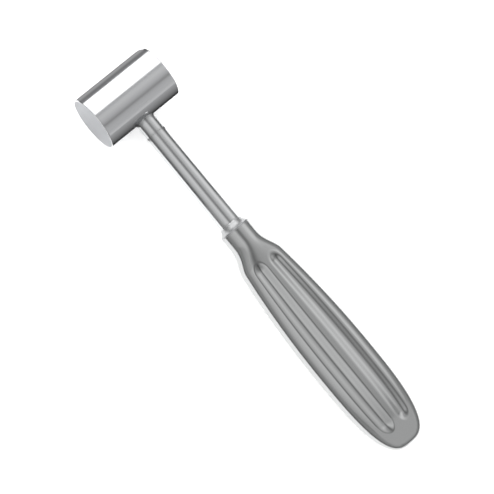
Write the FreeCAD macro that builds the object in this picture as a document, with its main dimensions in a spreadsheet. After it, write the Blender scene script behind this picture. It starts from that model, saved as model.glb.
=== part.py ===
import FreeCAD, Part
import math
import os

from FreeCAD import Placement, Rotation, Vector
import Sketcher

# Surgical mallet, in millimetres. A solid turned steel head, a turned shaft brazed into its side,
# and a hollow fluted grip of two equal shells welded along their edges over the shaft's tang.
#
# Every piece is drawn in the mallet's own frame: the head's centre is the origin, X runs along the
# shaft to the butt, Y is the axis of the head, and Z is square to the broad faces of the grip.
# The mallet is then laid down: it rests on the side of its head and on the broad face of its grip.

# Driving sizes. Places along the shaft follow from the lengths, added up from the head's centre.
SIZES = {
    # Head, and the clearance that the braze fills all round the shaft's spigot, foot and tang.
    "head_diameter": 30.0,
    "head_length": 44.0,
    "head_rim_chamfer": 0.6,
    "braze_gap": 0.05,
    # Shaft. Its length is what shows, from the side of the head to the front of the grip.
    "spigot_diameter": 8.0,
    "spigot_length": 20.0,
    "spigot_chamfer": 0.5,
    "shaft_length": 71.0,
    "shaft_head_end_diameter": 10.8,
    "shaft_grip_end_diameter": 11.6,
    "root_flare_height": 0.5,
    "root_flare_length": 1.6,
    "collar_flare_length": 4.8,
    "collar_land": 0.8,
    "tang_length": 12.0,
    # Grip, in four stretches: a round neck, a shoulder, a swell to the widest place and a tail.
    "neck_diameter": 16.8,
    "neck_wall": 1.4,
    "neck_length": 7.0,
    "shoulder_length": 14.0,
    "swell_length": 65.0,
    "tail_length": 53.0,
    "shoulder_width": 25.0,
    "grip_width": 33.2,
    "shoulder_thickness": 17.2,
    "grip_thickness": 19.0,
    # Flutes, two in each broad face, and the hollow inside the shells.
    "flute_depth": 1.5,
    "flute_lead_in": 6.5,
    "neck_to_flutes": 18.0,
    "flutes_to_tip": 16.5,
    "shell_wall": 1.2,
    "hollow_end_wall": 7.0,
}

# Forms of the curves, with no unit. The flutes follow the outline of the grip, so their middle line
# and half width are shares of the half width there.
TAIL_OUTLINE_POWER = 3.0
TAIL_SIDE_POWER = 2.6
NECK_SECTION_POWER = 2.0
GRIP_SECTION_POWER = 2.7
FLUTE_MIDDLE_SHARE = 0.38
FLUTE_HALF_WIDTH_SHARE = 0.32

# How finely the curved surfaces are sampled: steps along each stretch of the grip, and across it.
NECK_STEPS = 3
SHOULDER_STEPS = 9
SWELL_STEPS = 12
TAIL_STEPS = 12
STEPS_ACROSS = 32
HOLLOW_STEPS = 5
HOLLOW_SIDES = 12
BELLY_STEPS = 600

doc = FreeCAD.newDocument("SurgicalMallet")


def add_size_sheet():
    """Spreadsheet with one row for each driving size: its name, its value and an alias."""
    sheet = doc.addObject("Spreadsheet::Sheet", "Sizes")
    for row, (name, value) in enumerate(SIZES.items(), start=1):
        sheet.set(f"A{row}", name)
        sheet.set(f"B{row}", str(value))
        sheet.setAlias(f"B{row}", name)
    doc.recompute()
    return sheet


sheet = add_size_sheet()


def size(name):
    return float(sheet.get(name))


# Places along the shaft, from the centre of the head: expressions on the sheet, and their values.
HEAD_SIDE = "Sizes.head_diameter / 2"
GRIP_FRONT = f"{HEAD_SIDE} + Sizes.shaft_length"
head_side = sheet.evalExpression(HEAD_SIDE)
grip_front = sheet.evalExpression(GRIP_FRONT)
neck_end = grip_front + size("neck_length")
shoulder_end = neck_end + size("shoulder_length")
widest = shoulder_end + size("swell_length")
tip = widest + size("tail_length")

# Between these two places the flutes have their full depth.
flutes_start = neck_end + size("neck_to_flutes")
flutes_end = tip - size("flutes_to_tip")

# Radius of the shaft's tang, which fills the bore of the grip's neck.
BORE_RADIUS = "Sizes.neck_diameter / 2 - Sizes.neck_wall"
TANG_RADIUS = f"{BORE_RADIUS} - Sizes.braze_gap"


def origin_plane(body, role):
    return next(f for f in body.Origin.OriginFeatures if f.Role == role)


def add_sketch(body, name, role, shift=None):
    """Sketch on one of the body's own planes, moved along the plane's normal by an expression."""
    sketch = body.newObject("Sketcher::SketchObject", name)
    sketch.AttachmentSupport = [(origin_plane(body, role), "")]
    sketch.MapMode = "FlatFace"
    if shift:
        sketch.setExpression("AttachmentOffset.Base.z", shift)
    return sketch


def bind(sketch, constraint, name, expression):
    """Add a dimension to a sketch and tie it to the sheet."""
    index = sketch.addConstraint(constraint)
    sketch.renameConstraint(index, name)
    sketch.setExpression(f"Constraints.{name}", expression)


def add_circle(sketch, radius):
    """Circle about the sketch's origin, with its radius given by an expression."""
    circle = sketch.addGeometry(Part.Circle(Vector(0, 0, 0), Vector(0, 0, 1), 5.0), False)
    sketch.addConstraint(Sketcher.Constraint("Coincident", circle, 3, -1, 1))
    bind(sketch, Sketcher.Constraint("Radius", circle, 5.0), "radius", radius)


def circular_edges(feature, radius):
    """Names of the edges of a feature that are full circles of one radius."""
    names = []
    for index, edge in enumerate(feature.Shape.Edges, start=1):
        is_circle = isinstance(edge.Curve, Part.Circle) and edge.isClosed()
        if is_circle and abs(edge.Curve.Radius - radius) < 1e-6:
            names.append(f"Edge{index}")
    return names


def add_chamfer(body, name, base, edge_names, expression):
    chamfer = body.newObject("PartDesign::Chamfer", name)
    chamfer.Base = (base, edge_names)
    chamfer.setExpression("Size", expression)
    doc.recompute()
    return chamfer


def make_head():
    """Solid cylinder across the shaft, rims broken, with a blind socket for the shaft's spigot."""
    body = doc.addObject("PartDesign::Body", "HeadBody")
    outline = add_sketch(body, "HeadOutline", "XZ_Plane")
    add_circle(outline, "Sizes.head_diameter / 2")
    cylinder = body.newObject("PartDesign::Pad", "HeadCylinder")
    cylinder.Profile = outline
    cylinder.Midplane = True
    cylinder.setExpression("Length", "Sizes.head_length")
    doc.recompute()
    rims = circular_edges(cylinder, head_side)
    rimmed = add_chamfer(body, "HeadRims", cylinder, rims, "Sizes.head_rim_chamfer")
    before = rimmed.Shape.Volume

    floor = "Sizes.head_diameter / 2 - Sizes.spigot_length - Sizes.braze_gap"
    mouth = add_sketch(body, "SocketOutline", "YZ_Plane", floor)
    add_circle(mouth, "Sizes.spigot_diameter / 2 + Sizes.braze_gap")
    socket = body.newObject("PartDesign::Pocket", "SpigotSocket")
    socket.Profile = mouth
    socket.Type = "ThroughAll"
    socket.Reversed = True
    doc.recompute()
    if not socket.Shape.Volume < before:
        raise RuntimeError("the spigot's socket cuts nothing from the head")
    body.Label = "head"
    return body


def shaft_corners():
    """Corners of the shaft's half profile, foot to tang: name, place along the shaft, radius."""
    foot_start = f"{HEAD_SIDE} - 2 * Sizes.root_flare_length"
    foot_radius = "Sizes.shaft_head_end_diameter / 2 + Sizes.root_flare_height"
    collar_start = f"{GRIP_FRONT} - Sizes.collar_land"
    tang_end = f"{GRIP_FRONT} + Sizes.tang_length"
    return [
        ("foot_axis", foot_start, "0"),
        ("foot_start", foot_start, foot_radius),
        ("foot_edge", HEAD_SIDE, foot_radius),
        ("taper_start", f"{HEAD_SIDE} + Sizes.root_flare_length", "Sizes.shaft_head_end_diameter / 2"),
        ("taper_end", f"{collar_start} - Sizes.collar_flare_length", "Sizes.shaft_grip_end_diameter / 2"),
        ("collar_start", collar_start, "Sizes.neck_diameter / 2"),
        ("collar_end", GRIP_FRONT, "Sizes.neck_diameter / 2"),
        ("tang_start", GRIP_FRONT, TANG_RADIUS),
        ("tang_end", tang_end, TANG_RADIUS),
        ("tang_axis", tang_end, "0"),
    ]


def flare_arc(near, far, along):
    """Arc that leaves the point near along the direction given and ends at the point far."""
    chord = far.sub(near)
    square = Vector(-along.y, along.x, 0)
    radius = chord.Length ** 2 / (2 * chord.dot(square))
    centre = near.add(square.multiply(radius))
    middle = near.add(far).multiply(0.5).sub(centre)
    return Part.Arc(near, centre.add(middle.normalize().multiply(abs(radius))), far)


def draw_shaft_profile(sketch):
    """Closed half profile: straight sides, and an arc tangent to the taper at each of its ends."""
    corners = shaft_corners()
    places = [Vector(sheet.evalExpression(x), sheet.evalExpression(r), 0) for _, x, r in corners]
    names = [name for name, _, _ in corners]
    root, taper, collar = names.index("foot_edge"), names.index("taper_start"), names.index("taper_end")
    along = places[collar].sub(places[taper]).normalize()

    geometry = []
    for index, start in enumerate(places):
        end = places[(index + 1) % len(places)]
        if index == root:
            geometry.append(flare_arc(end, start, along.negative()))
        elif index == collar:
            geometry.append(flare_arc(start, end, along))
        else:
            geometry.append(Part.LineSegment(start, end))
    sketch.addGeometry(geometry, False)

    # An arc's own start and end follow its turning sense, so each joint is found by its place.
    def end_at(index, place):
        start = sketch.getPoint(index, 1)
        return 1 if start.distanceToPoint(place) < 1e-6 else 2

    for index, (name, along_x, radius) in enumerate(corners):
        before = index - 1 if index else len(corners) - 1
        here = end_at(index, places[index])
        joint = "Tangent" if name in ("taper_start", "taper_end") else "Coincident"
        there = end_at(before, places[index])
        sketch.addConstraint(Sketcher.Constraint(joint, before, there, index, here))
        place = places[index]
        distance_x = Sketcher.Constraint("DistanceX", -1, 1, index, here, place.x)
        bind(sketch, distance_x, f"{name}_x", along_x)
        if radius == "0":
            sketch.addConstraint(Sketcher.Constraint("PointOnObject", index, here, -1))
        else:
            distance_y = Sketcher.Constraint("DistanceY", -1, 1, index, here, place.y)
            bind(sketch, distance_y, f"{name}_r", radius)


def make_shaft():
    """Turned rod: a spigot, a foot that fits round the head, a slow taper, a flared collar, a tang."""
    body = doc.addObject("PartDesign::Body", "ShaftBody")
    profile = add_sketch(body, "ShaftProfile", "XY_Plane")
    draw_shaft_profile(profile)
    rod = body.newObject("PartDesign::Revolution", "ShaftRod")
    rod.Profile = profile
    rod.ReferenceAxis = (profile, ["H_Axis"])
    rod.Angle = 360.0
    doc.recompute()
    before = rod.Shape.Volume

    seat = add_sketch(body, "SaddleOutline", "XZ_Plane")
    add_circle(seat, f"{HEAD_SIDE} + Sizes.braze_gap")
    saddle = body.newObject("PartDesign::Pocket", "HeadSaddle")
    saddle.Profile = seat
    saddle.Midplane = True
    saddle.setExpression("Length", "2 * Sizes.shaft_head_end_diameter")
    doc.recompute()
    if not saddle.Shape.Volume < before:
        raise RuntimeError("the head's saddle cuts nothing from the shaft")

    end = add_sketch(body, "SpigotOutline", "YZ_Plane", f"{HEAD_SIDE} - Sizes.spigot_length")
    add_circle(end, "Sizes.spigot_diameter / 2")
    spigot = body.newObject("PartDesign::Pad", "Spigot")
    spigot.Profile = end
    spigot.setExpression("Length", "Sizes.spigot_length + Sizes.root_flare_length")
    doc.recompute()
    spigot_end = head_side - size("spigot_length")
    ends = [
        name
        for name in circular_edges(spigot, size("spigot_diameter") / 2)
        if abs(spigot.Shape.getElement(name).Curve.Center.x - spigot_end) < 1e-6
    ]
    add_chamfer(body, "SpigotEnd", spigot, ends, "Sizes.spigot_chamfer")
    body.Label = "shaft"
    return body


def ease(share):
    """Smooth step: 0 up to 0, 1 from 1, level at both ends."""
    share = min(1.0, max(0.0, share))
    return share * share * (3 - 2 * share)


def outline(place, at_shoulder, at_widest, tail_power):
    """Half size of the grip's outline at a place along it, from its half sizes at two places.

    The neck is straight. A smooth step leads through the shoulder into a parabola that peaks at
    the widest place, and a superellipse closes the tail.
    """
    if place >= widest:
        share = min(1.0, (place - widest) / (tip - widest))
        return at_widest * (1 - share ** tail_power) ** (1 / tail_power)
    swell = at_widest - (at_widest - at_shoulder) * ((widest - place) / (widest - shoulder_end)) ** 2
    neck = size("neck_diameter") / 2
    return neck + (swell - neck) * ease((place - neck_end) / (shoulder_end - neck_end))


def half_width(place):
    return outline(place, size("shoulder_width") / 2, size("grip_width") / 2, TAIL_OUTLINE_POWER)


def half_thickness(place):
    return outline(place, size("shoulder_thickness") / 2, size("grip_thickness") / 2, TAIL_SIDE_POWER)


def flute_cut(place, across):
    """Depth of the flutes: a cosine square across each one, with the same form rounding its ends."""
    beyond = max(0.0, flutes_start - place, place - flutes_end) / size("flute_lead_in")
    middle = FLUTE_MIDDLE_SHARE * half_width(place)
    reach = FLUTE_HALF_WIDTH_SHARE * half_width(place)
    cut = 0.0
    for side in (-1, 1):
        share = math.hypot((across - side * middle) / reach, beyond) if reach else 1.0
        cut += size("flute_depth") * math.cos(math.pi / 2 * min(1.0, share)) ** 2
    return cut


def section_points(place):
    """Points over the upper half of the grip's section: a superellipse less the flutes."""
    width, thickness = half_width(place), half_thickness(place)
    if place >= tip:
        return [Vector(tip, 0, 0)] * (STEPS_ACROSS + 1)
    power = NECK_SECTION_POWER + (GRIP_SECTION_POWER - NECK_SECTION_POWER) * ease(
        (place - neck_end) / (shoulder_end - neck_end)
    )
    points = []
    for step in range(STEPS_ACROSS + 1):
        angle = math.pi * step / STEPS_ACROSS
        across, up = math.cos(angle), math.sin(angle)
        reach = (abs(across / width) ** power + abs(up / thickness) ** power) ** (-1 / power)
        on_weld = step in (0, STEPS_ACROSS)
        height = 0.0 if on_weld else up * reach - flute_cut(place, across * reach)
        points.append(Vector(place, across * reach, height))
    return points


def stations():
    """Places of the sections along the grip.

    They are even up to the flutes, and close up at both ends of the flutes' full depth. Past it the
    steps shrink with the outline's own power, so that each one narrows the tail by the same amount.
    """
    places = []
    for start, end, steps in (grip_front, neck_end, NECK_STEPS), (neck_end, flutes_start, SHOULDER_STEPS):
        places += [start + (end - start) * step / steps for step in range(steps)]
    for step in range(SWELL_STEPS):
        share = (1 - math.cos(math.pi * step / SWELL_STEPS)) / 2
        places.append(flutes_start + (flutes_end - flutes_start) * share)
    for step in range(TAIL_STEPS):
        places.append(tip - (tip - flutes_end) * (1 - step / TAIL_STEPS) ** TAIL_OUTLINE_POWER)
    return places + [tip]


def grip_half_solid():
    """Solid upper half of the grip: the fluted skin, the weld plane below it and the front face."""
    skin = Part.BSplineSurface()
    skin.interpolate([section_points(place) for place in stations()])
    start, end, right, left = skin.bounds()
    strips = []
    for step in range(STEPS_ACROSS):
        strip = skin.copy()
        near = right + (left - right) * step / STEPS_ACROSS
        far = right + (left - right) * (step + 1) / STEPS_ACROSS
        strip.segment(start, end, near, far)
        strips.append(strip)
    edges = [strips[0].vIso(right).toShape(), strips[-1].vIso(left).toShape()]
    neck = size("neck_diameter") / 2
    across = Part.makeLine(Vector(grip_front, neck, 0), Vector(grip_front, -neck, 0))
    weld_plane = Part.Face(Part.Wire(Part.sortEdges(edges + [across])[0]))
    arcs = [strip.uIso(start).toShape() for strip in strips]
    front = Part.Face(Part.Wire(Part.sortEdges(arcs + [across])[0]))
    shell = Part.Shell([strip.toShape() for strip in strips] + [weld_plane, front])
    shell.sewShape()
    solid = Part.Solid(shell)
    if solid.Volume < 0:
        solid.reverse()
    return solid


def hollow_solid():
    """Hollow of the grip, out of sight: flat-sided rings that keep clear of skin and flutes."""
    front = grip_front + size("tang_length") + size("braze_gap")
    back = tip - size("hollow_end_wall")
    rings = []
    for step in range(HOLLOW_STEPS + 1):
        place = front + (back - front) * step / HOLLOW_STEPS
        width = half_width(place) - size("shell_wall")
        height = half_thickness(place) - size("shell_wall") - size("flute_depth")
        turns = [2 * math.pi * side / HOLLOW_SIDES for side in range(HOLLOW_SIDES)]
        ring = [Vector(place, width * math.cos(turn), height * math.sin(turn)) for turn in turns]
        rings.append(Part.makePolygon(ring + ring[:1]))
    return Part.makeLoft(rings, True, True)


def add_cut(name, base, tool):
    cut = doc.addObject("Part::Cut", name)
    cut.Base = base
    cut.Tool = tool
    return cut


def make_grip_shells():
    """Two equal shells: the solid half, less the hollow, less the bore for the shaft's tang."""
    blank = doc.addObject("Part::Feature", "GripBlank")
    blank.Shape = grip_half_solid()
    hollow = doc.addObject("Part::Feature", "GripHollow")
    hollow.Shape = hollow_solid()
    bore = doc.addObject("Part::Cylinder", "TangBore")
    bore.setExpression("Radius", BORE_RADIUS)
    bore.setExpression("Height", "Sizes.tang_length + 2 * Sizes.braze_gap")
    bore.setExpression("Placement.Base.x", f"{GRIP_FRONT} - Sizes.braze_gap")
    bore.Placement = Placement(Vector(grip_front - size("braze_gap"), 0, 0), Rotation(Vector(0, 1, 0), 90))
    opened = add_cut("HollowBlank", blank, hollow)
    shells = []
    for name in ("grip_upper_shell", "grip_lower_shell"):
        shell = add_cut(name.title().replace("_", ""), opened, bore)
        shell.Label = name
        shells.append(shell)
    return shells


def lying_placement():
    """Placement of the mallet as it lies: head and grip both touch the surface, origin below its middle.

    The butt is lowered about the head's centre until the grip's belly first meets the surface.
    """
    fine = [grip_front + (tip - grip_front) * step / BELLY_STEPS for step in range(BELLY_STEPS + 1)]
    bellies = [(place, half_thickness(place)) for place in fine]
    slope = min(math.asin(head_side / math.hypot(x, z)) - math.atan2(z, x) for x, z in bellies)
    reach = max(x * math.cos(slope) + z * math.sin(slope) for x, z in bellies)
    middle = (reach - head_side) / 2
    turn = Rotation(Vector(0, 1, 0), math.degrees(slope))
    return Placement(Vector(-middle, 0, head_side), turn)


def check_and_export(pieces):
    """Stop if any object failed or any piece is missing or unsound, then write one file per piece."""
    for thing in doc.Objects:
        if "Invalid" in thing.State or "Error" in thing.State:
            raise RuntimeError(f"{thing.Name} did not compute: {thing.State}")
    for piece in pieces:
        if piece.Shape.isNull() or not piece.Shape.isValid():
            raise RuntimeError(f"{piece.Label} has no sound shape")
        if len(piece.Shape.Solids) != 1:
            raise RuntimeError(f"{piece.Label} is not one solid")
    os.makedirs("parts", exist_ok=True)
    for piece in pieces:
        piece.Shape.exportStep(f"parts/{piece.Label}.step")


head = make_head()
shaft = make_shaft()
upper_shell, lower_shell = make_grip_shells()
lying = lying_placement()
for piece in (head, shaft, upper_shell):
    piece.Placement = lying
lower_shell.Placement = lying.multiply(Placement(Vector(0, 0, 0), Rotation(Vector(1, 0, 0), 180)))
doc.recompute()
check_and_export([head, shaft, upper_shell, lower_shell])
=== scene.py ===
"""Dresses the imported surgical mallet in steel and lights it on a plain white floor.

Lengths are in metres, in the part's own frame: X from the head to the butt, Z up from the floor.
The mallet's own frame has its origin at the middle of the head, X along the shaft, Y along the head
and Z square to the broad faces of the grip. lay_down turns one into the other.
"""

import math

import bpy
import numpy as np
from mathutils import Matrix, Vector


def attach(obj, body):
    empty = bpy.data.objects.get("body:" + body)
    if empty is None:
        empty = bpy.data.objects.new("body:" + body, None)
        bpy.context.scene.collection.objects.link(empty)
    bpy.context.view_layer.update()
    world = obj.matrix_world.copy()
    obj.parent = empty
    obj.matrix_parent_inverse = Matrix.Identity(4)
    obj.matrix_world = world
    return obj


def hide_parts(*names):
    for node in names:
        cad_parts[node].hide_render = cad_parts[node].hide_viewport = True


bl_info = {
    "name": "Surgical mallet",
    "version": (1, 0, 0),
    "blender": (4, 5, 0),
    "location": "View3D > Sidebar > Mallet",
    "description": "Builds the finished surfaces, steels and studio of a surgical mallet",
    "category": "Object",
}

MM = 0.001
# The width of the uneven patches of a finish.
UNEVEN_MM = 14
# Rings along the grip, and points round each.
GRIP_RINGS = 300
GRIP_SIDES = 300

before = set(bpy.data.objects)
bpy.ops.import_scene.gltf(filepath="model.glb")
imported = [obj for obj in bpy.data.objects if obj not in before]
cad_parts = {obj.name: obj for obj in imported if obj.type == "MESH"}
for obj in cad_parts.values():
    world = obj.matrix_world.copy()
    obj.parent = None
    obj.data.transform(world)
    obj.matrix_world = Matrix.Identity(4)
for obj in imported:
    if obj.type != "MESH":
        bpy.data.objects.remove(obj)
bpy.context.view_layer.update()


class HeadSizes(bpy.types.PropertyGroup):
    """The turned cylinder that strikes."""

    diameter: bpy.props.FloatProperty(
        name="Diameter", description="Across the head's barrel", default=30 * MM, unit="LENGTH")
    length: bpy.props.FloatProperty(
        name="Length", description="Between the two striking faces", default=44 * MM, unit="LENGTH")
    rim_radius: bpy.props.FloatProperty(
        name="Rim radius", description="Rounding of the two rims", default=0.6 * MM, unit="LENGTH")
    colour: bpy.props.StringProperty(
        name="Steel colour", description="Polished steel, as an sRGB hex value", default="DEDFE1")
    roughness: bpy.props.FloatProperty(
        name="Roughness", description="How far the polish blurs what it mirrors",
        default=0.15, min=0, max=1, subtype="FACTOR")
    # Partly the ground finish, partly painted shade: the faces' steel is darker than the barrel's,
    # standing in for the shadowed floor that they mirror.
    shaded_face_colour: bpy.props.StringProperty(
        name="Face colour", description="Ground steel of the striking faces, as an sRGB hex value",
        default="909296")
    face_roughness: bpy.props.FloatProperty(
        name="Face roughness", description="How far the ground faces blur what they mirror",
        default=0.3, min=0, max=1, subtype="FACTOR")


class ShaftSizes(bpy.types.PropertyGroup):
    """The turned rod between the head and the grip."""

    head_end_diameter: bpy.props.FloatProperty(
        name="Head end", description="Shaft diameter at the head", default=10.8 * MM, unit="LENGTH")
    grip_end_diameter: bpy.props.FloatProperty(
        name="Grip end", description="Shaft diameter before the collar",
        default=11.6 * MM, unit="LENGTH")
    length: bpy.props.FloatProperty(
        name="Length", description="From the side of the head to the grip",
        default=71 * MM, unit="LENGTH")
    root_flare: bpy.props.FloatVectorProperty(
        name="Root flare", description="Length and height of the flare against the head",
        size=2, default=(1.6 * MM, 0.5 * MM), unit="LENGTH")
    collar_flare_length: bpy.props.FloatProperty(
        name="Collar flare", description="Length of the hollow flare up to the collar",
        default=4.8 * MM, unit="LENGTH")
    collar_land: bpy.props.FloatProperty(
        name="Collar land", description="Length of the plain rim of the collar",
        default=0.8 * MM, unit="LENGTH")
    tang_length: bpy.props.FloatProperty(
        name="Tang", description="How far the shaft runs into the grip", default=12 * MM, unit="LENGTH")
    colour: bpy.props.StringProperty(
        name="Steel colour", description="Satin steel, as an sRGB hex value", default="C8C9CA")
    roughness: bpy.props.FloatProperty(
        name="Roughness", description="How far the finish blurs what it mirrors",
        default=0.20, min=0, max=1, subtype="FACTOR")
    collar_colour: bpy.props.StringProperty(
        name="Collar colour", description="Blasted steel of the collar, as an sRGB hex value",
        default="B4B5B6")
    collar_roughness: bpy.props.FloatProperty(
        name="Collar roughness", description="How far the blasted collar blurs what it mirrors",
        default=0.37, min=0, max=1, subtype="FACTOR")


class GripSizes(bpy.types.PropertyGroup):
    """The hollow grip, a wide oval with two flutes in each broad face."""

    neck_diameter: bpy.props.FloatProperty(
        name="Neck diameter", description="Across the round neck", default=16.8 * MM, unit="LENGTH")
    neck_wall: bpy.props.FloatProperty(
        name="Neck wall", description="Sheet round the tang", default=1.4 * MM, unit="LENGTH")
    lengths: bpy.props.FloatVectorProperty(
        name="Lengths", description="Of the neck, the shoulder, the swell and the tail",
        size=4, default=(7 * MM, 14 * MM, 65 * MM, 53 * MM), unit="LENGTH")
    widths: bpy.props.FloatVectorProperty(
        name="Widths", description="At the shoulder and at the widest place",
        size=2, default=(25 * MM, 33.2 * MM), unit="LENGTH")
    thicknesses: bpy.props.FloatVectorProperty(
        name="Thicknesses", description="At the shoulder and at the widest place",
        size=2, default=(17.2 * MM, 19 * MM), unit="LENGTH")
    tail_powers: bpy.props.FloatVectorProperty(
        name="Tail powers", description="How full the butt is in outline and from the side",
        size=2, default=(3.0, 2.6))
    section_powers: bpy.props.FloatVectorProperty(
        name="Section powers", description="How full the cross-section is at the neck and in the body",
        size=2, default=(2.0, 2.7))
    flute_depth: bpy.props.FloatProperty(
        name="Flute depth", description="At the middle of a flute", default=1.5 * MM, unit="LENGTH")
    flute_lead_in: bpy.props.FloatProperty(
        name="Flute lead-in", description="Length in which a flute runs out",
        default=6.5 * MM, unit="LENGTH")
    flute_ends: bpy.props.FloatVectorProperty(
        name="Plain ends", description="From the neck to the flutes, and from the flutes to the butt",
        size=2, default=(18 * MM, 16.5 * MM), unit="LENGTH")
    flute_shares: bpy.props.FloatVectorProperty(
        name="Flute shares", description="Middle and half-width of a flute, as shares of the half-width",
        size=2, default=(0.38, 0.32))
    colour: bpy.props.StringProperty(
        name="Steel colour", description="Blasted steel, as an sRGB hex value", default="B5B6B6")
    roughness: bpy.props.FloatProperty(
        name="Roughness", description="How far the finish blurs what it mirrors",
        default=0.165, min=0, max=1, subtype="FACTOR")


class StudioSettings(bpy.types.PropertyGroup):
    """The floor's colour and the place of the camera."""

    floor_colour: bpy.props.StringProperty(
        name="Floor", description="Floor colour, as an sRGB hex value", default="FBFBFB")
    camera_azimuth: bpy.props.FloatProperty(
        name="Azimuth", description="Where the camera stands round the mallet",
        default=math.radians(1.955), subtype="ANGLE")
    camera_elevation: bpy.props.FloatProperty(
        name="Elevation", description="How far the camera looks down",
        default=math.radians(76.48), subtype="ANGLE")
    camera_roll: bpy.props.FloatProperty(
        name="Roll", description="Turn of the picture", default=math.radians(48.27), subtype="ANGLE")
    camera_distance: bpy.props.FloatProperty(
        name="Distance", description="From the camera to the mallet", default=1500 * MM, unit="LENGTH")
    picture_width: bpy.props.FloatProperty(
        name="Picture width", description="Seen at the mallet's distance",
        default=248.5 * MM, unit="LENGTH")
    camera_aim: bpy.props.FloatVectorProperty(
        name="Aim", description="Middle of the picture, right of and above the middle of the mallet",
        size=2, default=(-5.89 * MM, 6.42 * MM), unit="LENGTH")


def settings():
    """The mallet's sizes and colours, as the scene holds them."""
    return bpy.context.scene.mallet


def ease(share):
    """Smooth step from 0 to 1: three times the square less twice the cube."""
    share = np.clip(share, 0, 1)
    return share * share * (3 - 2 * share)


def grip_places():
    """Distances from the middle of the head along the shaft: the start of the grip, then the ends of
    its neck, shoulder, swell and tail."""
    sizes = settings()
    start = sizes.head.diameter / 2 + sizes.shaft.length
    return start + np.concatenate([[0], np.cumsum(sizes.grip.lengths[:])])


def grip_outline(place, at_shoulder, at_widest, tail_power):
    """Half of the grip's width or thickness at a place along it.

    Up to the widest place it is a parabola, widest less the square of the distance from there, and the
    shoulder eases into that from the round neck. The tail is a superellipse: the share of the way to
    the butt and the share of the half-width, each to the tail's power, add up to one.
    """
    _, neck_end, shoulder_end, widest, tip = grip_places()
    neck = settings().grip.neck_diameter / 2
    swell = at_widest - (at_widest - at_shoulder) * ((widest - place) / (widest - shoulder_end)) ** 2
    shoulder = neck + (swell - neck) * ease((place - neck_end) / (shoulder_end - neck_end))
    share = np.clip((place - widest) / (tip - widest), 0, 1)
    tail = at_widest * (1 - share**tail_power) ** (1 / tail_power)
    return np.where(place < widest, shoulder, tail)


def half_width(place):
    """Half of the grip's width, across the flutes."""
    grip = settings().grip
    return grip_outline(place, grip.widths[0] / 2, grip.widths[1] / 2, grip.tail_powers[0])


def half_thickness(place):
    """Half of the grip's thickness, square to its broad faces, before the flutes are cut."""
    grip = settings().grip
    return grip_outline(place, grip.thicknesses[0] / 2, grip.thicknesses[1] / 2, grip.tail_powers[1])


def flute_cut(place, across):
    """How deep the flutes are at a place along the grip and a distance across it.

    Each of the two is a cosine squared of the distance from the flute's middle line, which keeps to
    its share of the half-width. Past its two ends that distance grows, so it runs out in a scoop.
    """
    grip = settings().grip
    start = grip_places()[0] + grip.lengths[0] + grip.flute_ends[0]
    end = grip_places()[-1] - grip.flute_ends[1]
    beyond = np.maximum(0, np.maximum(start - place, place - end)) / grip.flute_lead_in
    middle = grip.flute_shares[0] * half_width(place)
    reach = np.maximum(grip.flute_shares[1] * half_width(place), 1e-6)
    cut = 0
    for side in (-1, 1):
        distance = np.hypot((across - side * middle) / reach, beyond)
        cut = cut + grip.flute_depth * np.cos(np.pi / 2 * np.minimum(1, distance)) ** 2
    return cut


def lay_down(points):
    """Turns points of the mallet's own frame into the part's frame, lying on the floor.

    The head's barrel and the broad face of the grip both touch the floor. So the shaft slopes down
    by the angle at which the line from the barrel's underside is tangent to the grip's underside.
    """
    head_side = settings().head.diameter / 2
    place = np.linspace(grip_places()[0], grip_places()[-1], 601)
    belly = half_thickness(place)
    slope = np.min(np.arcsin(head_side / np.hypot(place, belly)) - np.arctan2(belly, place))
    reach = np.max(place * np.cos(slope) + belly * np.sin(slope))
    middle = (reach - head_side) / 2
    x, y, z = np.moveaxis(points, -1, 0)
    along = x * np.cos(slope) + z * np.sin(slope) - middle
    up = z * np.cos(slope) - x * np.sin(slope) + head_side
    return np.stack([along, y, up], axis=-1)


def closed_skin(name, rings):
    """Makes a closed piece from rings of points, an array of ring, point and coordinate.

    The first and last ring shrink to one point each. Quads join the rings, triangles close the ends,
    and all faces point outwards where the rings turn clockwise as seen from the last one.
    """
    count, sides = rings.shape[:2]
    points = np.concatenate([rings[:1, 0], rings[1:-1].reshape(-1, 3), rings[-1:, 0]])
    ring = np.arange(sides)
    following = (ring + 1) % sides
    start = 1 + sides * np.arange(count - 3)[:, None]
    quads = np.stack([start + ring, start + following,
                      start + sides + following, start + sides + ring], -1)
    last = len(points) - 1
    first_fan = np.stack([np.zeros_like(ring), 1 + following, 1 + ring], -1)
    last_fan = np.stack([np.full_like(ring, last), last - sides + ring, last - sides + following], -1)
    mesh = bpy.data.meshes.new(name)
    faces = first_fan.tolist() + quads.reshape(-1, 4).tolist() + last_fan.tolist()
    mesh.from_pydata(points.tolist(), [], faces)
    mesh.shade_smooth()
    piece = bpy.data.objects.new(name, mesh)
    bpy.context.scene.collection.objects.link(piece)
    return piece


def arc(centre, radius, start, end, steps):
    """Points of an arc of a profile, from one angle to the other, in degrees from the axis."""
    angle = np.radians(np.linspace(start, end, steps))
    return np.stack([centre[0] + radius * np.cos(angle), centre[1] + radius * np.sin(angle)], -1)


def line(start, end, steps):
    """Points of a straight run of a profile, close together at its ends, so that its shading is flat."""
    share = (1 - np.cos(np.linspace(0, np.pi, steps))) / 2
    return np.array(start) + np.outer(share, np.array(end) - np.array(start))


def linear(colour):
    """An sRGB hex value as the linear red, green, blue and alpha that a shader takes."""
    srgb = np.array([int(colour[i:i + 2], 16) for i in (0, 2, 4)]) / 255
    values = np.where(srgb <= 0.04045, srgb / 12.92, ((srgb + 0.055) / 1.055) ** 2.4)
    return (*values.tolist(), 1.0)


def add_node(tree, kind, inputs=None, **values):
    """Adds a node, sets its values, and sets or links its inputs, which may be outputs of nodes."""
    made = tree.nodes.new(kind)
    for key, value in values.items():
        setattr(made, key, value)
    for key, value in (inputs or {}).items():
        if isinstance(value, bpy.types.NodeSocket):
            tree.links.new(value, made.inputs[key])
        else:
            made.inputs[key].default_value = value
    return made


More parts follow.
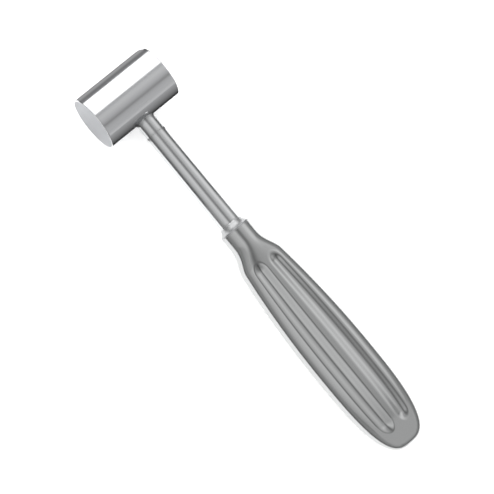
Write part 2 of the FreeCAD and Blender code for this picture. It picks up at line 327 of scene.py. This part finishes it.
def steel(name, colour, roughness, grain_mm, stretch, depth_mm, mottle):
    """A stainless steel whose grain is noise of a real size, longer one way than the other.

    The marks of real polishing, turning and blasting are a few hundredths of a millimetre wide, too
    fine to show. They are drawn 0.1 to 0.5 mm wide and about a thousandth of a millimetre deep.
    The finish is also a little uneven from place to place, as one worked by hand is: mottle is the
    share by which its roughness varies.
    """
    material = bpy.data.materials.new(name)
    material.use_nodes = True
    tree = material.node_tree
    tree.nodes.clear()
    place = add_node(tree, "ShaderNodeTexCoord").outputs["Object"]
    laid = add_node(tree, "ShaderNodeMapping", {"Vector": place, "Scale": stretch})
    grain = add_node(tree, "ShaderNodeTexNoise", {
        "Vector": laid.outputs[0], "Scale": 1 / (grain_mm * MM), "Detail": 3.0, "Roughness": 0.6})
    cloud = add_node(tree, "ShaderNodeTexNoise", {
        "Vector": place, "Scale": 1 / (UNEVEN_MM * MM), "Detail": 2.0, "Roughness": 0.5})
    rough = add_node(tree, "ShaderNodeMapRange", {
        "Value": cloud.outputs[0], "From Min": 0.3, "From Max": 0.7,
        "To Min": roughness * (1 - mottle), "To Max": roughness * (1 + mottle)})
    bump = add_node(tree, "ShaderNodeBump", {
        "Height": grain.outputs[0], "Strength": 1.0, "Distance": depth_mm * MM})
    shader = add_node(tree, "ShaderNodeBsdfPrincipled", {
        "Base Color": linear(colour), "Metallic": 1.0,
        "Roughness": rough.outputs[0], "Normal": bump.outputs[0]})
    add_node(tree, "ShaderNodeOutputMaterial", {"Surface": shader.outputs[0]})
    return material


def finish_piece(piece, material, nodes):
    """Gives a piece its material, hangs it from the root body, and hides the CAD nodes that it stands for.
    """
    piece.data.materials.append(material)
    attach(piece, "root")
    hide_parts(*nodes)


def finish_strips(piece, material, strips):
    """Gives the strips of faces that are marked, between one ring and the next, another material."""
    piece.data.materials.append(material)
    sides = len(piece.data.polygons) // len(strips)
    piece.data.polygons.foreach_set("material_index", np.repeat(strips, sides).astype(int))


class MakeHead(bpy.types.Operator):
    """Turn the head, a polished cylinder with finely rounded rims"""

    bl_idname = "mallet.make_head"
    bl_label = "Head"

    def execute(self, context):
        sizes = settings().head
        radius, end, rim = sizes.diameter / 2, sizes.length / 2, sizes.rim_radius
        # A flat face, a quarter circle for its rim and half of the barrel, and then their mirror image.
        half = np.concatenate([
            line((-end, 0), (-end, radius - rim), 24),
            arc((rim - end, radius - rim), rim, 180, 90, 9)[1:],
            line((rim - end, radius), (0, radius), 30)[1:]])
        profile = np.concatenate([half, half[-2::-1] * (-1, 1)])
        turn = np.linspace(0, 2 * np.pi, 256, endpoint=False)
        along, out = profile[:, :1], profile[:, 1:]
        rings = np.stack([out * np.cos(turn), along + 0 * turn, -out * np.sin(turn)], -1)
        piece = closed_skin("head_finish", lay_down(rings))
        # Polished as it turned, so its marks run round the barrel: it mirrors the studio in clear bands.
        material = steel("polished stainless steel", sizes.colour, sizes.roughness,
                         0.35, (0.25, 4.0, 0.25), 0.0006, 0.15)
        finish_piece(piece, material, ["head"])
        # Ground flat, with no direction: an even grey that mirrors nothing clearly. Its colour is also
        # darker than the barrel's: painted shade for the shadowed floor that the faces mirror.
        ground = steel("ground stainless steel with painted shade", sizes.shaded_face_colour, sizes.face_roughness,
                       0.4, (1.0, 1.0, 1.0), 0.0006, 0.1)
        finish_strips(piece, ground, np.diff(profile[:, 0]) == 0)
        return {"FINISHED"}


class MakeShaft(bpy.types.Operator):
    """Turn the shaft, from the foot that fits round the head to the tang inside the grip"""

    bl_idname = "mallet.make_shaft"
    bl_label = "Shaft"

    def execute(self, context):
        sizes = settings().shaft
        neck = settings().grip.neck_diameter / 2
        tang = neck - settings().grip.neck_wall
        head = settings().head.diameter / 2
        grip = grip_places()[0]
        flare_length, flare_height = sizes.root_flare
        root = sizes.head_end_diameter / 2
        taper_end = sizes.grip_end_diameter / 2
        flare_start = grip - sizes.collar_land - sizes.collar_flare_length
        rise = neck - taper_end
        root_radius = (flare_length**2 + flare_height**2) / (2 * flare_height)
        collar_radius = (sizes.collar_flare_length**2 + rise**2) / (2 * rise)
        root_turn = math.degrees(math.asin(flare_length / root_radius))
        collar_turn = math.degrees(math.asin(sizes.collar_flare_length / collar_radius))
        profile = np.concatenate([
            line((head, 0), (head, root + flare_height), 12),
            arc((head + flare_length, root + root_radius), root_radius, 270 - root_turn, 270, 12)[1:],
            line((head + flare_length, root), (flare_start, taper_end), 60)[1:],
            arc((flare_start, taper_end + collar_radius), collar_radius, 270, 270 + collar_turn, 24)[1:],
            line((grip - sizes.collar_land, neck), (grip, neck), 8)[1:],
            line((grip, neck), (grip, tang), 6)[1:],
            line((grip, tang), (grip + sizes.tang_length, tang), 8)[1:],
            line((grip + sizes.tang_length, tang), (grip + sizes.tang_length, 0), 8)[1:]])
        turn = np.linspace(0, 2 * np.pi, 192, endpoint=False)
        along, out = profile[:, :1], profile[:, 1:]
        # The foot fits the head's barrel: the square root of the barrel's radius squared less the
        # distance to the side squared. That fades out over the root flare.
        saddle = np.sqrt(head**2 - (out * np.sin(turn)) ** 2)
        fade = 1 - ease((along - head) / flare_length)
        along = along - (head - saddle) * fade
        rings = np.stack([along, out * np.cos(turn), out * np.sin(turn)], -1)
        piece = closed_skin("shaft_finish", lay_down(rings))
        # Turned, so its marks are fine rings round the rod: long soft streaks of light run down it.
        material = steel("satin turned stainless steel", sizes.colour, sizes.roughness,
                         0.4, (4.0, 0.25, 0.25), 0.0008, 0.12)
        finish_piece(piece, material, ["shaft"])
        # Left as it was blasted, and more matt than the rod: one broad soft highlight.
        blasted = steel("blasted stainless steel of the collar", sizes.collar_colour,
                        sizes.collar_roughness, 0.5, (1.0, 1.0, 1.0), 0.0012, 0.1)
        finish_strips(piece, blasted, profile[1:, 0] > flare_start + sizes.collar_flare_length / 3)
        return {"FINISHED"}


class MakeGrip(bpy.types.Operator):
    """Press the grip's two shells, ground flush along their weld, with two flutes in each broad face"""

    bl_idname = "mallet.make_grip"
    bl_label = "Grip"

    def execute(self, context):
        sizes = settings().grip
        start, neck_end, shoulder_end, widest, tip = grip_places()
        # The rings are even along the outline, so they crowd together where the butt closes.
        fine = start + (tip - start) * (1 - np.linspace(1, 0, 40001) ** 3)
        steps = np.hypot(np.diff(fine), np.diff(half_width(fine)))
        walked = np.concatenate([[0], np.cumsum(steps)])
        place = np.interp(np.linspace(0, walked[-1], GRIP_RINGS), walked, fine)[1:-1, None]
        place = np.concatenate([[[start], [start + 0.02 * MM]], place])
        turn = np.linspace(0, 2 * np.pi, GRIP_SIDES, endpoint=False)
        # Each ring is a superellipse, round at the neck and fuller in the body: the shares of the
        # half-width and of the half-thickness, each to the section's power, add up to one. The
        # flutes are then cut out of its top and its underside.
        blend = ease((place - neck_end) / (shoulder_end - neck_end))
        power = sizes.section_powers[0] + (sizes.section_powers[1] - sizes.section_powers[0]) * blend
        reach = (np.abs(np.cos(turn) / half_width(place)) ** power
                 + np.abs(np.sin(turn) / half_thickness(place)) ** power) ** (-1 / power)
        across, up = reach * np.cos(turn), reach * np.sin(turn)
        up = np.sign(up) * np.maximum(np.abs(up) - flute_cut(place, across) * (np.abs(up) > 1e-9), 0)
        body = np.stack([place + 0 * turn, across, up], -1)
        socket_end = start + settings().shaft.tang_length
        bore = sizes.neck_diameter / 2 - sizes.neck_wall
        mouth = np.concatenate([
            line((socket_end, 0), (socket_end, bore), 5),
            line((socket_end, bore), (start, bore), 5)[1:],
            line((start, bore), (start, sizes.neck_diameter / 2), 6)[1:-1]])
        socket = np.stack([mouth[:, :1] + 0 * turn,
                           mouth[:, 1:] * np.cos(turn), mouth[:, 1:] * np.sin(turn)], -1)
        butt = np.broadcast_to([tip, 0, 0], (1, len(turn), 3))
        rings = np.concatenate([socket, body, butt])
        piece = closed_skin("grip_finish", lay_down(rings))
        # Bead blasted, then rubbed down: soft-edged streaks along the flutes and a fine even grain.
        material = steel("blasted stainless steel", sizes.colour, sizes.roughness,
                         0.5, (1.0, 1.0, 1.0), 0.0012, 0.10)
        finish_piece(piece, material, ["grip_upper_shell", "grip_lower_shell"])
        return {"FINISHED"}


# What the steel sees overhead, in degrees from straight up: over the shaft's sides, and along it.
SIDES_SEEN = [(-90, 0.25), (-83, 0.36), (-70, 0.53), (-59, 0.66), (-47, 0.74), (-37, 0.79), (-26, 0.86),
              (-16, 0.56), (-8, 0.28), (-2, 0.22), (5, 0.36), (15, 0.57), (26, 0.65), (37, 0.76),
              (48, 0.95), (58, 1.0), (66, 0.9), (75, 0.6), (84, 0.4), (90, 0.33)]
LENGTH_SEEN = [(-90, 0.72), (-20, 0.72), (-13, 0.70), (-4, 0.97), (6, 0.99), (18, 0.84), (27, 0.70),
               (36, 0.40), (43, 0.64), (50, 0.68), (59, 0.68), (68, 0.62), (78, 0.55), (90, 0.50)]
SKY_STRENGTH = 1.2
HORIZON = (0.85, 0.85, 0.85, 1.0)
# Sines of the heights between which the horizon gives way to the panels.
HORIZON_HEIGHTS = (0.03, 0.045)

# Lengths in metres. Near the mallet the lamps light the floor, and it glows only by the first of the
# two strengths. Further out, where they no longer reach, it glows by the second, which is white.
FLOOR_REACH = 20.0
LIT_FLOOR = (0.3, 1.8)
FLOOR_GLOW = (0.3, 1.0)

# Glowing cards, in millimetres, that only the metal mirrors: painted reflections, mostly of shade. The
# rings are two parts of a superellipse that goes round the whole mallet.
RING_HALVES = (165, 46)
RING_POWER = 0.6
RING_HEIGHT = 24
# Start and end in degrees round from the butt, and the levels of the painted shade at the foot and at the
# top.
RINGS = (("grip_ring_card", -95, 95, 0.15, 0.5), ("head_ring_card", 95, 265, 0.08, 0.28))
# The cards across the shaft, which the head's side mirrors as painted shade, darker at the foot: each from
# one side to the other, and from one height to the other. They leave a hole for the shaft.
ACROSS_SHAFT_X = -82
ACROSS_SHAFT_TOP = 26.5
ACROSS_SHAFT = (("near_card", (-40, -4.2), (0, 26.5)), ("far_card", (4.2, 40), (0, 26.5)),
                ("bridge_card", (-6, 9), (19.5, 26.5)), ("under_card", (-4.8, 4.8), (0, 10.6)))
# Levels of the painted reflection up the card beyond the head: dark at the foot, with a lighter band.
END_LEVELS = [(0, 0.15), (0.3, 0.25), (0.55, 0.46), (0.7, 0.40), (0.85, 0.20), (1, 0.26)]
# Level of the card over the butt, a painted reflection that the grip mirrors.
BUTT_LEVEL = 0.68


class MakeStudio(bpy.types.Operator):
    """Set the floor, the soft lamps, the glowing cards round the mallet that paint reflections of shade on
    the metal, and the camera
    """

    bl_idname = "mallet.make_studio"
    bl_label = "Studio"

    def execute(self, context):
        self.make_world(context)
        self.make_floor()
        self.make_cards()
        self.make_lamps()
        self.make_camera(context)
        context.scene.view_settings.view_transform = "Standard"
        return {"FINISHED"}

    def make_world(self, context):
        """Grey panels overhead with soft gaps, and a white horizon.

        A direction's level is that of its angle over the mallet's sides, times that of its angle along it.
        """
        world = bpy.data.worlds.new("studio")
        world.use_nodes = True
        context.scene.world = world
        tree = world.node_tree
        tree.nodes.clear()
        seen = add_node(tree, "ShaderNodeTexCoord").outputs["Generated"]
        axes = add_node(tree, "ShaderNodeSeparateXYZ", {0: seen}).outputs
        levels = []
        for axis, stops in ((axes[1], SIDES_SEEN), (axes[0], LENGTH_SEEN)):
            angle = add_node(tree, "ShaderNodeMath", {0: axis, 1: axes[2]}, operation="ARCTAN2")
            share = add_node(tree, "ShaderNodeMapRange", {
                "Value": angle.outputs[0], "From Min": -math.pi / 2, "From Max": math.pi / 2})
            stops = [(degrees / 180 + 0.5, level) for degrees, level in stops]
            levels.append(self.add_ramp(tree, share.outputs[0], stops).outputs[0])
        panels = add_node(tree, "ShaderNodeMix", {0: 1.0, 6: levels[0], 7: levels[1]},
                          data_type="RGBA", blend_type="MULTIPLY")
        high = add_node(tree, "ShaderNodeMapRange", {
            "Value": axes[2], "From Min": HORIZON_HEIGHTS[0], "From Max": HORIZON_HEIGHTS[1]},
            interpolation_type="SMOOTHSTEP")
        sky = add_node(tree, "ShaderNodeMix", {0: high.outputs[0], 6: HORIZON, 7: panels.outputs[2]},
                       data_type="RGBA")
        light = add_node(tree, "ShaderNodeBackground", {"Color": sky.outputs[2], "Strength": SKY_STRENGTH})
        add_node(tree, "ShaderNodeOutputWorld", {"Surface": light.outputs[0]})

    def make_floor(self):
        """A plain white floor that keeps the mallet's soft shadow.

        Its glow is seen by the camera and mirrored by the metal, and lights nothing. It grows with the
        distance from the middle of the mallet.
        """
        mesh = bpy.data.meshes.new("floor")
        corners = [(x * FLOOR_REACH, y * FLOOR_REACH, 0) for x, y in ((-1, -1), (1, -1), (1, 1), (-1, 1))]
        mesh.from_pydata(corners, [], [(0, 1, 2, 3)])
        floor = bpy.data.objects.new("floor", mesh)
        bpy.context.scene.collection.objects.link(floor)
        material = bpy.data.materials.new("matt white paper")
        material.use_nodes = True
        tree = material.node_tree
        tree.nodes.clear()
        place = add_node(tree, "ShaderNodeTexCoord").outputs["Object"]
        away = add_node(tree, "ShaderNodeVectorMath", {0: place}, operation="LENGTH")
        strength = add_node(tree, "ShaderNodeMapRange", {
            "Value": away.outputs["Value"], "From Min": LIT_FLOOR[0], "From Max": LIT_FLOOR[1],
            "To Min": FLOOR_GLOW[0], "To Max": FLOOR_GLOW[1]}, interpolation_type="SMOOTHSTEP")
        paper = add_node(tree, "ShaderNodeBsdfDiffuse", {
            "Color": linear(settings().studio.floor_colour)})
        path = add_node(tree, "ShaderNodeLightPath").outputs
        mirrored = add_node(tree, "ShaderNodeMath", {
            0: path["Is Glossy Ray"], 1: path["Is Transmission Ray"]}, operation="ADD")
        seen = add_node(tree, "ShaderNodeMath", {
            0: path["Is Camera Ray"], 1: mirrored.outputs[0]}, operation="ADD", use_clamp=True)
        lift = add_node(tree, "ShaderNodeMath", {0: seen.outputs[0], 1: strength.outputs[0]},
                        operation="MULTIPLY")
        glow = add_node(tree, "ShaderNodeEmission", {"Color": (1, 1, 1, 1), "Strength": lift.outputs[0]})
        white = add_node(tree, "ShaderNodeAddShader", {0: paper.outputs[0], 1: glow.outputs[0]})
        add_node(tree, "ShaderNodeOutputMaterial", {"Surface": white.outputs[0]})
        mesh.materials.append(material)

    def make_cards(self):
        """Glowing cards that only the metal mirrors, painted reflections mostly of shade: low ones round
        the mallet, one over its butt.
        """
        for name, start, end, foot, top in RINGS:
            turn = np.radians(np.linspace(start, end, 81))
            ways = np.stack([np.cos(turn), np.sin(turn)], -1)
            ring = RING_HALVES * np.sign(ways) * np.abs(ways) ** RING_POWER
            self.make_card(name, ring, 0, RING_HEIGHT, [(0, foot), (1, top)])
        self.make_card("end_card", [(-126, -23), (-126, 23)], 0, RING_HEIGHT, END_LEVELS)
        for name, sides, (low, high) in ACROSS_SHAFT:
            start, end = low / ACROSS_SHAFT_TOP, high / ACROSS_SHAFT_TOP
            self.make_card(name, [(ACROSS_SHAFT_X, side) for side in sides], low, high, [
                (0, 0.42 * start), (0.3, 0.03 + 0.4 * start), (1, 0.42 * end)])
        self.make_card("butt_card", [(122, -70), (122, 90)], 60, 60,
                       [(0, BUTT_LEVEL), (1, BUTT_LEVEL)], reach=138)

    def make_card(self, name, foot, low, high, levels, reach=0):
        """A card on a line, in millimetres, that stands from low to high, or lies level and reaches +X.

        Its glow follows the levels given up its height, as shares of the way. The glow is a painted
        reflection: the card lights nothing, casts no shadow and is seen only in the metal.
        """
        count = len(foot)
        lower = np.column_stack([foot, np.full(count, low)])
        upper = np.column_stack([foot, np.full(count, high)]) + (reach, 0, 0)
        here = np.arange(count - 1)
        faces = np.stack([here, here + 1, here + 1 + count, here + count], -1)
        mesh = bpy.data.meshes.new(name)
        mesh.from_pydata((np.concatenate([lower, upper]) * MM).tolist(), [], faces.tolist())
        card = bpy.data.objects.new(name, mesh)
        bpy.context.scene.collection.objects.link(card)
        material = bpy.data.materials.new("glowing card of painted reflection")
        material.use_nodes = True
        tree = material.node_tree
        tree.nodes.clear()
        place = add_node(tree, "ShaderNodeTexCoord").outputs["Object"]
        height = add_node(tree, "ShaderNodeSeparateXYZ", {0: place}).outputs[2]
        share = add_node(tree, "ShaderNodeMapRange", {
            "Value": height, "From Min": low * MM, "From Max": max(high, low + 1) * MM})
        ramp = self.add_ramp(tree, share.outputs[0], levels)
        # The card's grey is a glow, not a lit colour: a painted reflection.
        grey = add_node(tree, "ShaderNodeEmission", {"Color": ramp.outputs[0], "Strength": 1.0})
        add_node(tree, "ShaderNodeOutputMaterial", {"Surface": grey.outputs[0]})
        mesh.materials.append(material)
        card.visible_camera = False
        card.visible_diffuse = False
        card.visible_shadow = False

    def add_ramp(self, tree, share, stops):
        """A grey ramp through stops of share and level."""
        ramp = add_node(tree, "ShaderNodeValToRGB", {0: share})
        elements = ramp.color_ramp.elements
        while len(elements) < len(stops):
            elements.new(0.5)
        for element, (position, level) in zip(elements, stops):
            element.position = position
            element.color = (level, level, level, 1)
        return ramp

    def make_lamps(self):
        """A wide soft lamp beyond the head, which the metal mirrors, and one overhead for the floor."""
        self.make_lamp("side_lamp", 53.5, 2.4, (3.2, 3.3), 1.3, 340 * MM, True)
        self.make_lamp("fill_lamp", -8, 3.0, (5.0, 5.0), 1.5, 0, False)

    def make_lamp(self, name, lean, distance, size, radiance, aside, mirrored):
        """A rectangular lamp over the head, which leans from straight up away from the grip.

        Its power is its radiance times pi times its area.
        """
        light = bpy.data.lights.new(name, "AREA")
        light.shape = "RECTANGLE"
        light.size, light.size_y = size
        light.energy = radiance * math.pi * light.size * light.size_y
        lamp = bpy.data.objects.new(name, light)
        bpy.context.scene.collection.objects.link(lamp)
        lean = math.radians(lean)
        aim = Vector((-math.sin(lean), 0, math.cos(lean)))
        across = Vector((0, 1, 0))
        lamp.location = Vector((-105 * MM, aside, 15 * MM)) + aim * distance
        lamp.rotation_mode = "QUATERNION"
        axes = Matrix((across, aim.cross(across), aim)).transposed()
        lamp.rotation_quaternion = axes.to_quaternion()
        lamp.visible_camera = False
        lamp.visible_glossy = mirrored

    def make_camera(self, context):
        """A long lens that looks down on the mallet, turned so that it lies across the picture."""
        studio = settings().studio
        sensor = 36.0
        data = bpy.data.cameras.new("camera")
        data.sensor_width = sensor
        data.lens = sensor * studio.camera_distance / studio.picture_width
        data.clip_start, data.clip_end = 0.01, 100
        camera = bpy.data.objects.new("camera", data)
        context.scene.collection.objects.link(camera)
        azimuth, elevation = studio.camera_azimuth, studio.camera_elevation
        back = Vector((math.sin(azimuth) * math.cos(elevation),
                       -math.cos(azimuth) * math.cos(elevation), math.sin(elevation)))
        right = Vector((0, 0, 1)).cross(back).normalized()
        up = back.cross(right)
        turned_right = right * math.cos(studio.camera_roll) + up * math.sin(studio.camera_roll)
        turned_up = up * math.cos(studio.camera_roll) - right * math.sin(studio.camera_roll)
        target = Vector((0, 0, 10 * MM))
        aim = target + studio.camera_aim[0] * turned_right + studio.camera_aim[1] * turned_up
        camera.location = aim + back * studio.camera_distance
        camera.rotation_mode = "QUATERNION"
        axes = Matrix((turned_right, turned_up, back)).transposed()
        camera.rotation_quaternion = axes.to_quaternion()
        context.scene.camera = camera


class MalletSettings(bpy.types.PropertyGroup):
    """All that a user may change on the mallet and in its studio."""

    head: bpy.props.PointerProperty(
        name="Head", description="Sizes and steel of the head", type=HeadSizes)
    shaft: bpy.props.PointerProperty(
        name="Shaft", description="Sizes and steel of the shaft", type=ShaftSizes)
    grip: bpy.props.PointerProperty(
        name="Grip", description="Sizes and steel of the grip", type=GripSizes)
    studio: bpy.props.PointerProperty(
        name="Studio", description="Floor and camera", type=StudioSettings)


class MalletPanel(bpy.types.Panel):
    """Lists the pieces of the mallet."""

    bl_idname = "VIEW3D_PT_mallet"
    bl_label = "Surgical mallet"
    bl_space_type = "VIEW_3D"
    bl_region_type = "UI"
    bl_category = "Mallet"

    def draw(self, context):
        for operator in OPERATORS:
            self.layout.operator(operator.bl_idname)


OPERATORS = (MakeHead, MakeShaft, MakeGrip, MakeStudio)
CLASSES = (HeadSizes, ShaftSizes, GripSizes, StudioSettings, MalletSettings, *OPERATORS, MalletPanel)


def register():
    for one in CLASSES:
        bpy.utils.register_class(one)
    bpy.types.Scene.mallet = bpy.props.PointerProperty(
        name="Mallet", description="Sizes and steels of the mallet", type=MalletSettings)


def unregister():
    del bpy.types.Scene.mallet
    for one in reversed(CLASSES):
        bpy.utils.unregister_class(one)


def main():
    """Registers the add-on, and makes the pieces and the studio."""
    register()
    bpy.ops.mallet.make_head()
    bpy.ops.mallet.make_shaft()
    bpy.ops.mallet.make_grip()
    bpy.ops.mallet.make_studio()


if __name__ == "__main__":
    main()
